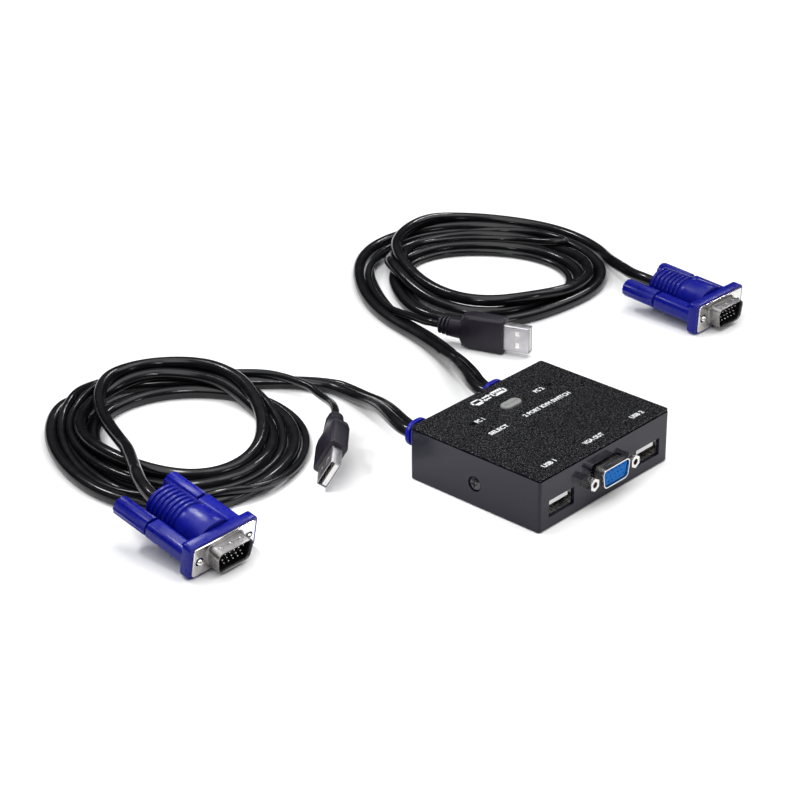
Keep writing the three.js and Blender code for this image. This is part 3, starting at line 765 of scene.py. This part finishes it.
def add_button():
    """The select button: an oval cap with a soft edge and a slight crown, on its skirt and stem."""
    cx, cy, _ = node_middle("select_button")
    top = button_high.z / MM
    cap = rounded(10.2, 5, 2.49, 8)
    mesh = bmesh.new()
    crown = [(-2.3, 0.0), (-0.45, 0.0), (-0.28, 0.05), (-0.14, 0.16), (-0.05, 0.34), (-0.01, 0.6), (0, 0.9)]
    loft(mesh, [at_z(moved(cap, inset), top + z, cx, cy) for z, inset in crown])
    skirt = rounded(12.2, 7, 3.4, 8)
    loft(mesh, [at_z(skirt, top + z, cx, cy) for z in (-2.8, -1.75)])
    stem = rounded(3, 3, 0.3, 2)
    loft(mesh, [at_z(stem, z, cx, cy) for z in (button_low.z / MM, top - 2.2)])
    name = "select_button"
    new_piece(f"{name}_cap", millimetres(mesh), "button_grey", name, replaced=[name])


def add_boot(number):
    """A cable boot: a flat oval neck with three collars, rounded at their edges."""
    name = f"cable_boot_{number}"
    cx, _, cz = node_middle(name)
    back = shell_high.y / MM
    outline = rounded(12.6, 11, 4.9, 8)
    neck = rounded(9.4, 6.4, 3.1, 8)
    grip = rounded(12, 7.8, 2, 8)
    mesh = bmesh.new()
    bar_y(mesh, grip, [(-3.4 + back, 0), (-1.9 + back, 0)], cx, cz)
    bar_y(mesh, neck, [(-3.2 + back, 0), (back + 5.3, 0)], cx, cz)
    for start, end, inset in ((0.1, 2.0, 0.0), (1.9, 3.3, 1.0), (3.2, 5.3, 0.25)):
        soft = 0.45
        profile = [(start, inset + soft), (start + 0.12, inset + 0.13), (start + soft, inset)]
        profile += [(end - soft, inset), (end - 0.12, inset + 0.13), (end, inset + soft)]
        bar_y(mesh, outline, [(back + y, i) for y, i in profile], cx, cz)
    new_piece(f"{name}_collars", millimetres(mesh), "boot_blue", "root", replaced=[name])


CONTACT_XS = (-3.5, -1.0, 1.0, 3.5)
CONTACT_HEIGHT = 8.33  # above the base shell's underside, in millimetres


def add_port_contacts(number):
    """Four contact strips under a USB port's tongue, and a dark block deep in the port as painted shade."""
    tongue = f"usb_port_{number}_tongue"
    cx, _, cz = node_middle(tongue)
    front = node_box(tongue)[0].y / MM
    mesh = bmesh.new()
    strip = rounded(1.1, 0.16, 0.07, 2)
    height = shell_low.z / MM + CONTACT_HEIGHT
    for x in CONTACT_XS:
        bar_y(mesh, strip, [(front + 1.5, 0.04), (front + 1.7, 0), (front + 8, 0)], cx + x, height)
    new_piece(f"usb_port_{number}_contacts", millimetres(mesh), "port_nickel", "root")
    # A dark block in the cavity below the tongue: painted shade for the dark depth of the port, not a real
    # part.
    mesh = bmesh.new()
    shade_block = rounded(12.9, 3.0, 0.3, 2)
    profile = [(front + 4.0, 0.2), (front + 4.1, 0.05), (front + 4.3, 0), (front + 8, 0)]
    bar_y(mesh, shade_block, profile, cx, cz - 1.3)
    new_piece(f"usb_port_{number}_liner", millimetres(mesh), "insulator_black", "root")


def add_port_insulator():
    """The blue face of the display port, with its fifteen sockets."""
    name = "vga_port_insulator"
    front, back = (corner.y / MM for corner in node_box(name))
    cz = node_middle("vga_port_shell")[2]
    mesh = bmesh.new()
    profile = [(front, 0.25), (front + 0.08, 0.08), (front + 0.25, 0), (back - 8, 0)]
    bar_y(mesh, d_outline(15.1, 6.9, 1.6), profile, 0, cz)
    block = rounded(19, 11.75, 0.4, 3)
    bar_y(mesh, block, [(back - 7.9, 0.2), (back - 7.7, 0), (back, 0)], 0, node_middle(name)[2])
    piece = new_piece("vga_port_face", millimetres(mesh), "insulator_blue", "root", replaced=[name])
    sockets = bmesh.new()
    for x, z in pin_places():
        bar_y(sockets, circle(0.34, 12), [(front - 1, 0), (front + 2.5, 0)], x, cz + z)
    carve(piece, millimetres(sockets))


def pin_places():
    """The fifteen contacts of a display connector, in three staggered rows."""
    return [
        (2.29 * (k - 2) + shift, 1.98 * (1 - row))
        for row, shift in ((0, 0.57), (1, -0.57), (2, 0.57))
        for k in range(5)
    ]


def carve(piece, cutter_mesh):
    """Cuts a shape out of a piece's mesh for good."""
    bmesh.ops.recalc_face_normals(cutter_mesh, faces=cutter_mesh.faces)
    cutter = mesh_object("cutter", cutter_mesh)
    kept = list(piece.modifiers)
    for modifier in kept:
        modifier.show_viewport = False
    cut = piece.modifiers.new("cut", "BOOLEAN")
    cut.operation = "DIFFERENCE"
    cut.solver = "EXACT"
    cut.object = cutter
    bpy.context.view_layer.update()
    shape = piece.evaluated_get(bpy.context.evaluated_depsgraph_get())
    result = bpy.data.meshes.new_from_object(shape)
    piece.modifiers.remove(cut)
    piece.data = result
    for modifier in kept:
        modifier.show_viewport = True
    bpy.data.objects.remove(cutter)


def add_indicator_rim(number):
    """The smooth dark ring round an indicator window in the grained lid."""
    cx, cy, _ = node_middle(f"pc_{number}_light_pipe")
    top = lid_high.z / MM
    mesh = bmesh.new()
    rings = [(1.75, top - 0.3), (1.75, top + 0.01), (1.65, top + 0.05), (1.35, top + 0.03), (1.2, top - 0.3)]
    tube_loft(mesh, [at_z(circle(radius, 32), z, cx, cy) for radius, z in rings])
    new_piece(f"pc_{number}_indicator_rim", millimetres(mesh), "light_pipe", "root")


add_button()
for add_detail in (add_indicator_rim, add_boot, add_port_contacts):
    for number in (1, 2):
        add_detail(number)
add_port_insulator()

# ---------------------------------------------------------------- plugs
# Each plug is made in its own frame, in millimetres: mating face towards -Y, cable leaving
# towards +Y. A place is a position with yaw, pitch and roll in degrees.
DISPLAY_PLUG_PLACES = [((-133.2, 39.1, 7.15), 0.7, 11, 0), ((157, 27, 7.25), -0.7, 3.5, 0)]
USB_PLUG_PLACES = [((-60.5, 55.4, 8.9), -48.9, 3, -60), ((71.6, 78.7, 8.1), 19, 0, -90)]
SCREW_X = 12.5


def placement(place):
    """The matrix from a plug's own frame, in millimetres, to the scene, in metres."""
    at, yaw, pitch, roll = place
    turn = (
        Matrix.Rotation(radians(yaw), 4, "Z")
        @ Matrix.Rotation(radians(pitch), 4, "X")
        @ Matrix.Rotation(radians(roll), 4, "Y")
    )
    return Matrix.Translation(Vector(at) * MM) @ turn @ Matrix.Scale(MM, 4)


def dome_outline(half, low, shoulder, top):
    """The hood's section: a flat bottom with round corners, straight sides and an arched top."""
    corner = 1.5
    crown = shoulder + (top - shoulder) / 0.75
    points = arc(-half + corner, low + corner, corner, 180, 270, 4)
    points += arc(half - corner, low + corner, corner, 270, 360, 4)
    for t in np.linspace(0, 1, 25):
        u = 1 - t
        x = half * (u**3 + 3 * u * u * t - 3 * u * t * t - t**3)
        y = shoulder * (u**3 + t**3) + crown * 3 * u * t
        points.append((x, y))
    return points


def hood_profile():
    """Places along the hood body: (y, half width, top), with a step and seven ribs."""
    rows = [(4.6, 9.1, 8.7), (4.75, 9.2, 9.05), (5.1, 9.25, 9.2), (10, 9.2, 9.15), (15.4, 9.0, 9.0)]
    rows += [(15.6, 8.9, 8.8), (15.7, 8.6, 8.35), (17.6, 8.5, 8.3)]
    start, pitch = 18.2, 2.25
    for k in range(7):
        y = start + k * pitch
        top = 8.85 - 0.1 * k
        half = 8.45 - 0.06 * k
        rows += [(y, half - 0.55, top - 0.75), (y + 0.12, half - 0.5, top - 0.65)]
        rows += [(y + 0.35, half - 0.08, top - 0.1), (y + 0.6, half, top), (y + 1.3, half, top)]
        rows += [(y + 1.55, half - 0.08, top - 0.1), (y + 1.78, half - 0.5, top - 0.65)]
        rows.append((y + 1.9, half - 0.55, top - 0.75))
    return [row for row in rows if row[0] <= 34]


def sleeve_outline(radius, flat):
    """A round bar's section with a flat facet on top and on each side."""
    return [(max(-radius + 0.35, min(x, radius - 0.35)), min(y, flat)) for x, y in circle(radius, 36)]


def add_display_hood(number, matrix):
    """The moulded hood of a display plug: flange, ribbed body and two screw sleeves."""
    mesh = bmesh.new()
    flange = rounded(34, 14.4, 2, 5)
    bar_y(mesh, flange, [(0, 0.3), (0.08, 0.1), (0.3, 0), (3.9, 0), (4.3, 0.12), (4.5, 0.45)])
    loft(mesh, [at_y(dome_outline(half, -6.8, 1.5, top), y) for y, half, top in hood_profile()])
    rear = hood_profile()[-1]
    end = dome_outline(rear[1] - 0.5, -6.6, 1.5, rear[2] - 0.6)
    bar_y(mesh, end, [(rear[0] - 0.5, 0), (33.6, 0), (34, 0.5)])
    for side in (-1, 1):
        x = side * SCREW_X
        bar_y(mesh, sleeve_outline(4.1, 3.3), [(4.0, 0), (23.7, 0), (24.0, 0.08), (24.2, 0.3)], x)
        web = rounded(4, 3, 0.4, 2)
        bar_y(mesh, web, [(4.2, 0), (23.9, 0), (24.2, 0.2)], side * 9)
        gusset = [(4.2, 7.2, 6.2), (5.2, 7.0, 5.6), (7.4, 6.6, 4.3), (8.0, 6.2, 3.6)]
        loft(mesh, [at_y(rounded(w, 2 * h, 1.2, 3), y, side * 10.6) for y, w, h in gusset])
    name = f"vga_plug_{number}"
    return new_piece(f"{name}_moulding", mesh, "hood_blue", "root", matrix, replaced=[f"{name}_hood"])


def add_display_front(number, matrix):
    """A display plug's front: plated plate, D-shaped nose, fifteen pins and dark lining."""
    name = f"vga_plug_{number}"
    mesh = bmesh.new()
    plate = rounded(30.8, 12.5, 1.2, 4)
    bar_y(mesh, plate, [(-0.65, 0.15), (-0.55, 0.03), (-0.45, 0), (-0.1, 0)])
    cuts = bmesh.new()
    for side in (-1, 1):
        bar_y(cuts, circle(1.9, 24), [(-3, 0), (2, 0)], side * SCREW_X)
    bar_y(cuts, d_outline(17.2, 8.7, 2.3), [(-3, 0), (2, 0)])
    plate = new_piece(f"{name}_plate", mesh, "port_nickel", "root", matrix, replaced=[f"{name}_shell"])
    cuts.transform(matrix)
    carve(plate, cuts)

    mesh = bmesh.new()
    outer = d_outline(17.9, 9.4, 2.6, 6)
    inner = moved(outer, 0.45)
    path = [(-0.3, outer, 0.0), (-0.62, outer, -0.75), (-0.8, outer, -0.7), (-1.0, outer, -0.25)]
    path += [(-1.35, outer, 0.0), (-6.2, outer, 0.0), (-6.5, outer, 0.08), (-6.6, outer, 0.22)]
    path += [(-6.55, inner, -0.12), (-6.3, inner, 0.0), (-0.3, inner, 0.0)]
    tube_loft(mesh, [at_y(moved(outline, inset), y) for y, outline, inset in path])
    for x in (-5, 0, 5):
        dimple = [(1.0, -0.1), (0.85, 0.1), (0.6, 0.24), (0.3, 0.3)]
        loft(mesh, [at_z(circle(r, 16), 4.65 + h, x, -3.6) for r, h in dimple])
    nose = new_piece(f"{name}_nose", mesh, "port_nickel", "root", matrix, material=NOSE_SHADED_STEEL)

    mesh = bmesh.new()
    for x, z in pin_places():
        profile = [(-5.1, 0.26), (-5.02, 0.12), (-4.85, 0.03), (-4.7, 0), (-1.2, 0)]
        bar_y(mesh, circle(0.34, 12), profile, x, z)
    pins = new_piece(f"{name}_pins", mesh, "port_nickel", "root", matrix)

    mesh = bmesh.new()
    wall = moved(outer, 0.5)
    path = [(-1.2, 0.0), (-5.6, 0.0), (-5.7, 0.1), (-5.6, 0.25), (-1.2, 0.3)]
    tube_loft(mesh, [at_y(moved(wall, inset), y) for y, inset in path])
    lining = new_piece(f"{name}_lining", mesh, "insulator_black", "root", matrix)
    return [plate, nose, pins, lining]


def knob_outline(radius, flutes=12, depth=0.3):
    """A fluted grip's section."""
    points = []
    for k in range(flutes * 4):
        angle = 2 * math.pi * k / (flutes * 4)
        r = radius - depth * (0.5 - 0.5 * cos(angle * flutes))
        points.append((r * cos(angle), r * sin(angle)))
    return points


def add_thumbscrew(number, name, side, matrix):
    """A thumbscrew: a fluted blue grip on a steel shank with a pointed, grooved tip."""
    x = side * SCREW_X
    node = f"vga_plug_{number}_thumbscrew_{name}"
    body = f"vga_plug_{number}_screw_{name}"
    mesh = bmesh.new()
    profile = [(24.9, 0.35), (25.05, 0.1), (25.3, 0), (41.3, 0), (41.8, 0.15), (42, 0.4)]
    bar_y(mesh, knob_outline(4), profile, x)
    grip = new_piece(f"{node}_grip", mesh, "hood_blue", body, matrix, replaced=[node])
    mesh = bmesh.new()
    loft(mesh, [at_y(circle(r, 20), y, x) for y, r in ((-2, 0.7), (-1.6, 1.05), (-1.2, 1.25), (0.4, 1.25))])
    loft(mesh, [at_y(circle(r, 20), y, x) for y, r in ((0.3, 1.4), (25.1, 1.4))])
    nickel = MATERIALS["port_nickel"]
    shank = new_piece(f"{node}_shank", mesh, "screw_steel", body, matrix, material=nickel)
    return [grip, shank]


USB_WINDOW_XS = (-2.6, 2.6)
USB_WINDOW_Y = -6.3


def add_usb_plug(number, matrix):
    """A USB A plug: ribbed overmould, steel shell with two windows a side, contacts and springs."""
    name = f"usb_plug_{number}"
    mesh = bmesh.new()
    body = rounded(16, 8, 1.6, 5)
    bar_y(mesh, body, [(0, 0.45), (0.12, 0.15), (0.45, 0), (15.5, 0)])
    bar_y(mesh, rounded(14.6, 7.6, 1.9, 5), [(0.5, 0), (19.0, 0)])
    shoulder = [(15.4, 16.0, 8.0), (16.6, 15.7, 7.95), (17.8, 14.9, 7.8), (18.8, 13.4, 7.6)]
    shoulder += [(19.6, 11.4, 7.3), (20, 9.6, 7.1)]
    loft(mesh, [at_y(rounded(w, h, 1.9, 5), y) for y, w, h in shoulder])
    collar = [(19, 9.2, 7.0), (25.2, 8.6, 6.6), (25.5, 8.2, 6.2)]
    loft(mesh, [at_y(rounded(w, h, 2.6, 5), y) for y, w, h in collar])
    for k in range(3):
        y = 25.6 + 1.85 * k
        ring = rounded(8.6 - 0.55 * k, 6.5 - 0.1 * k, 2.6, 5)
        profile = [(0, 0.5), (0.15, 0.12), (0.4, 0), (0.9, 0), (1.15, 0.12), (1.3, 0.5)]
        bar_y(mesh, ring, [(y + along, inset) for along, inset in profile])
    bar_y(mesh, circle(2.5, 24), [(25.3, 0), (30.7, 0), (31, 0.3)])
    replaced = [f"{name}_overmould"]
    grip = new_piece(f"{name}_grip", mesh, "usb_overmould", "root", matrix, replaced=replaced)

    mesh = bmesh.new()
    outer = rounded(12, 4.5, 0.5, 3)
    inner = rounded(11.3, 3.8, 0.3, 3)
    path = [(-0.1, outer, 0), (-11.5, outer, 0), (-11.68, outer, 0.05), (-11.75, outer, 0.14)]
    path += [(-11.7, inner, -0.1), (-11.5, inner, 0), (-0.4, inner, 0)]
    loft(mesh, [at_y(moved(outline, inset), y) for y, outline, inset in path])
    cuts = bmesh.new()
    window = rounded(2.4, 2.2, 0.2, 2)
    for x in USB_WINDOW_XS:
        for heights in ((1.6, 3), (-3, -1.6)):
            loft(cuts, [at_z(window, z, x, USB_WINDOW_Y) for z in heights])
    shell = new_piece(f"{name}_sleeve", mesh, "plug_steel", "root", matrix, replaced=[f"{name}_shell"])
    cuts.transform(matrix)
    carve(shell, cuts)

    mesh = bmesh.new()
    for x in CONTACT_XS:
        bar_y(mesh, rounded(1.1, 0.12, 0.05, 2), [(-10.6, 0.03), (-10.4, 0), (-1, 0)], x, 0.12)
    contacts = new_piece(f"{name}_contacts", mesh, "plug_steel", "root", matrix, material=CONTACT_GOLD)

    mesh = bmesh.new()
    spring = rounded(2.9, 2.7, 0.3, 2)
    for x in USB_WINDOW_XS:
        for heights in ((1.35, 1.86), (-1.95, -1.7)):
            loft(mesh, [at_z(spring, z, x, USB_WINDOW_Y) for z in heights])
    nickel = MATERIALS["port_nickel"]
    springs = new_piece(f"{name}_springs", mesh, "plug_steel", "root", matrix, material=nickel)
    return [grip, shell, contacts, springs]


for i in (0, 1):
    n = i + 1
    matrix = placement(DISPLAY_PLUG_PLACES[i])
    pieces = [add_display_hood(n, matrix), *add_display_front(n, matrix)]
    for name, side in (("left", -1), ("right", 1)):
        pieces += add_thumbscrew(n, name, side, matrix)
    usb = add_usb_plug(n, placement(USB_PLUG_PLACES[i]))

# ---------------------------------------------------------------- cords painted and attached, CAD cables hidden
for i in (0, 1):
    n = i + 1
    for kind in ("vga", "usb"):
        piece, line, diameter, length = cables[f"{kind}_{n}"]
        paint(piece, MATERIALS["cable_black"])
        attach(piece, "root")
        nodes = [f"{kind}_lead_{n}", f"{kind}_tail_{n}"]
        if kind == "vga":
            nodes.append(f"cable_coil_{n}")
        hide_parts(*nodes)

# ---------------------------------------------------------------- printing on the lid
PRINT_HEIGHT = 0.00003
lid_top = lid_high.z


def print_piece(name, mesh):
    return new_piece(name, mesh, "white_plastic", "root", material=WHITE_PRINT)


def label(name, text, x0, x1, y0, y1):
    """Printed words on the lid, fitted into a box given in millimetres."""
    data = bpy.data.curves.new(name, "FONT")
    data.body = text
    data.offset = 0.03
    data.extrude = 0.5
    data.resolution_u = 3
    words = linked("words", data)
    bpy.context.view_layer.update()
    flat = bpy.data.meshes.new_from_object(words.evaluated_get(bpy.context.evaluated_depsgraph_get()))
    bpy.data.objects.remove(words)
    mesh = bmesh.new()
    mesh.from_mesh(flat)
    bmesh.ops.remove_doubles(mesh, verts=mesh.verts, dist=1e-5)
    xs, ys = [v.co.x for v in mesh.verts], [v.co.y for v in mesh.verts]
    scale_x, scale_y = (x1 - x0) / (max(xs) - min(xs)), (y1 - y0) / (max(ys) - min(ys))
    low_x, low_y = min(xs), min(ys)
    for v in mesh.verts:
        x = (x0 + (v.co.x - low_x) * scale_x) * MM
        y = (y0 + (v.co.y - low_y) * scale_y) * MM
        v.co = (x, y, lid_top + PRINT_HEIGHT * (v.co.z + 0.5))
    return print_piece(name, mesh)


def flat_shape(mesh, outline, cx, cy):
    """A printed shape, from an outline in millimetres."""
    small = [(a * MM, b * MM) for a, b in outline]
    loft(mesh, [at_z(small, lid_top + z, cx * MM, cy * MM) for z in (0, PRINT_HEIGHT)])


def frame_shape(mesh, width, height, line, cx, cy):
    """A printed frame, as four strokes."""
    strokes = [(0, 1, width, line), (0, -1, width, line), (1, 0, line, height), (-1, 0, line, height)]
    for sx, sy, w, h in strokes:
        x, y = cx + sx * (width - line) / 2, cy + sy * (height - line) / 2
        flat_shape(mesh, rounded(w, h, line * 0.3, 2), x, y)


def add_pictogram():
    """Monitor, two-way arrows and keyboard, printed behind the select button."""
    cy = 26.5
    mesh = bmesh.new()
    frame_shape(mesh, 5.6, 3.3, 0.8, -6.9, cy + 0.4)
    flat_shape(mesh, rounded(3.4, 0.7, 0.2, 2), -6.9, cy - 1.75)
    for sign in (-1, 1):
        y = cy + 0.95 * sign
        flat_shape(mesh, rounded(3.4, 0.8, 0.1, 2), -1.4, y)
        tip = [(sign * 1.7, 0.0), (0.0, sign * 1.1), (0.0, -sign * 1.1)]
        flat_shape(mesh, tip, -1.4 + sign * 1.3, y)
    frame_shape(mesh, 8, 3.8, 0.8, 5.7, cy)
    for k in range(4):
        flat_shape(mesh, rounded(0.9, 0.8, 0.1, 2), 3.6 + 1.4 * k, cy + 0.6)
    flat_shape(mesh, rounded(4.2, 0.7, 0.1, 2), 5.7, cy - 0.7)
    print_piece("keyboard_screen_sign", mesh)


label("label_pc_1", "PC 1", -20, -15.7, 14.6, 17)
label("label_pc_2", "PC 2", 15.3, 20.3, 14.6, 17)
label("label_select", "SELECT", -24, -13.5, 4.3, 6.5)
label("label_two_port", "2 PORT KVM SWITCH", -3.5, 24.2, 4.2, 6.5)
label("label_usb_1", "USB 1", -30.5, -23.3, -27.4, -25.1)
label("label_usb_2", "USB 2", 23, 30.4, -27.4, -25.1)
label("label_vga_out", "VGA OUT", -6, 5.5, -27.4, -25.1)
add_pictogram()

# ---------------------------------------------------------------- table and light
FLOOR_HALF = 4.0
# Each near light: its place and target in metres, power in watts, and size in metres.
NEAR_LIGHTS = [
    ("near_left", (-0.105, 0.085, 0.085), (-0.03, 0.02, 0.024), 0.09, 0.03),
    ("near_front", (0.05, -0.26, 0.12), (0.0, -0.03, 0.012), 0.12, 0.06),
]
# Each far light: azimuth and elevation in degrees, strength, and angular width in degrees.
LIGHTS = [
    ("key", (95, 50), 0.75, 8),
    ("rim", (15, 42), 0.35, 6),
    ("top", (40, 86), 1.3, 55),
    ("left", (-165, 52), 0.9, 40),
    ("right", (-35, 52), 0.9, 40),
]


def add_floor():
    mesh = bmesh.new()
    bmesh.ops.create_grid(mesh, x_segments=4, y_segments=4, size=FLOOR_HALF)
    floor = mesh_object("table", mesh)
    paint(floor, floor_material().material)


def add_lamp(name, kind, power, towards):
    """A lamp that lies in a direction from what it lights."""
    data = bpy.data.lights.new(name, kind)
    data.energy = power
    lamp = linked(name, data)
    lamp.rotation_euler = towards.to_track_quat("Z", "Y").to_euler()
    return lamp


def add_light(name, direction, strength, width):
    """A wide, soft light from far away; direction is azimuth and elevation in degrees."""
    azimuth, elevation = (radians(v) for v in direction)
    level = cos(elevation)
    towards = Vector((cos(azimuth) * level, sin(azimuth) * level, sin(elevation)))
    add_lamp(name, "SUN", strength, towards).data.angle = radians(width)


def add_near_light(name, place, target, power, size):
    """A small soft box close to the object, out of the camera's sight."""
    lamp = add_lamp(name, "AREA", power, Vector(place) - Vector(target))
    lamp.data.size = size
    lamp.location = place
    lamp.visible_camera = False


def add_world():
    """A dim studio: nearly black round the horizon and pale overhead."""
    world = bpy.data.worlds.new("studio")
    world.use_nodes = True
    sky = world.node_tree.nodes["Background"]
    sky.inputs["Strength"].default_value = 1.0
    nodes, links = world.node_tree.nodes, world.node_tree.links
    split = nodes.new("ShaderNodeSeparateXYZ")
    links.new(nodes.new("ShaderNodeTexCoord").outputs["Generated"], split.inputs[0])
    ramp = nodes.new("ShaderNodeValToRGB")
    stops = ((0.3, (0.02, 0.02, 0.022, 1)), (0.95, (0.42, 0.42, 0.43, 1)))
    for stop, (position, colour) in zip(ramp.color_ramp.elements, stops):
        stop.position, stop.color = position, colour
    links.new(split.outputs["Z"], ramp.inputs["Fac"])
    links.new(ramp.outputs["Color"], sky.inputs["Color"])
    bpy.context.scene.world = world


add_floor()
for light in NEAR_LIGHTS:
    add_near_light(*light)
for light in LIGHTS:
    add_light(*light)
add_world()
bpy.context.scene.view_settings.view_transform = "Standard"
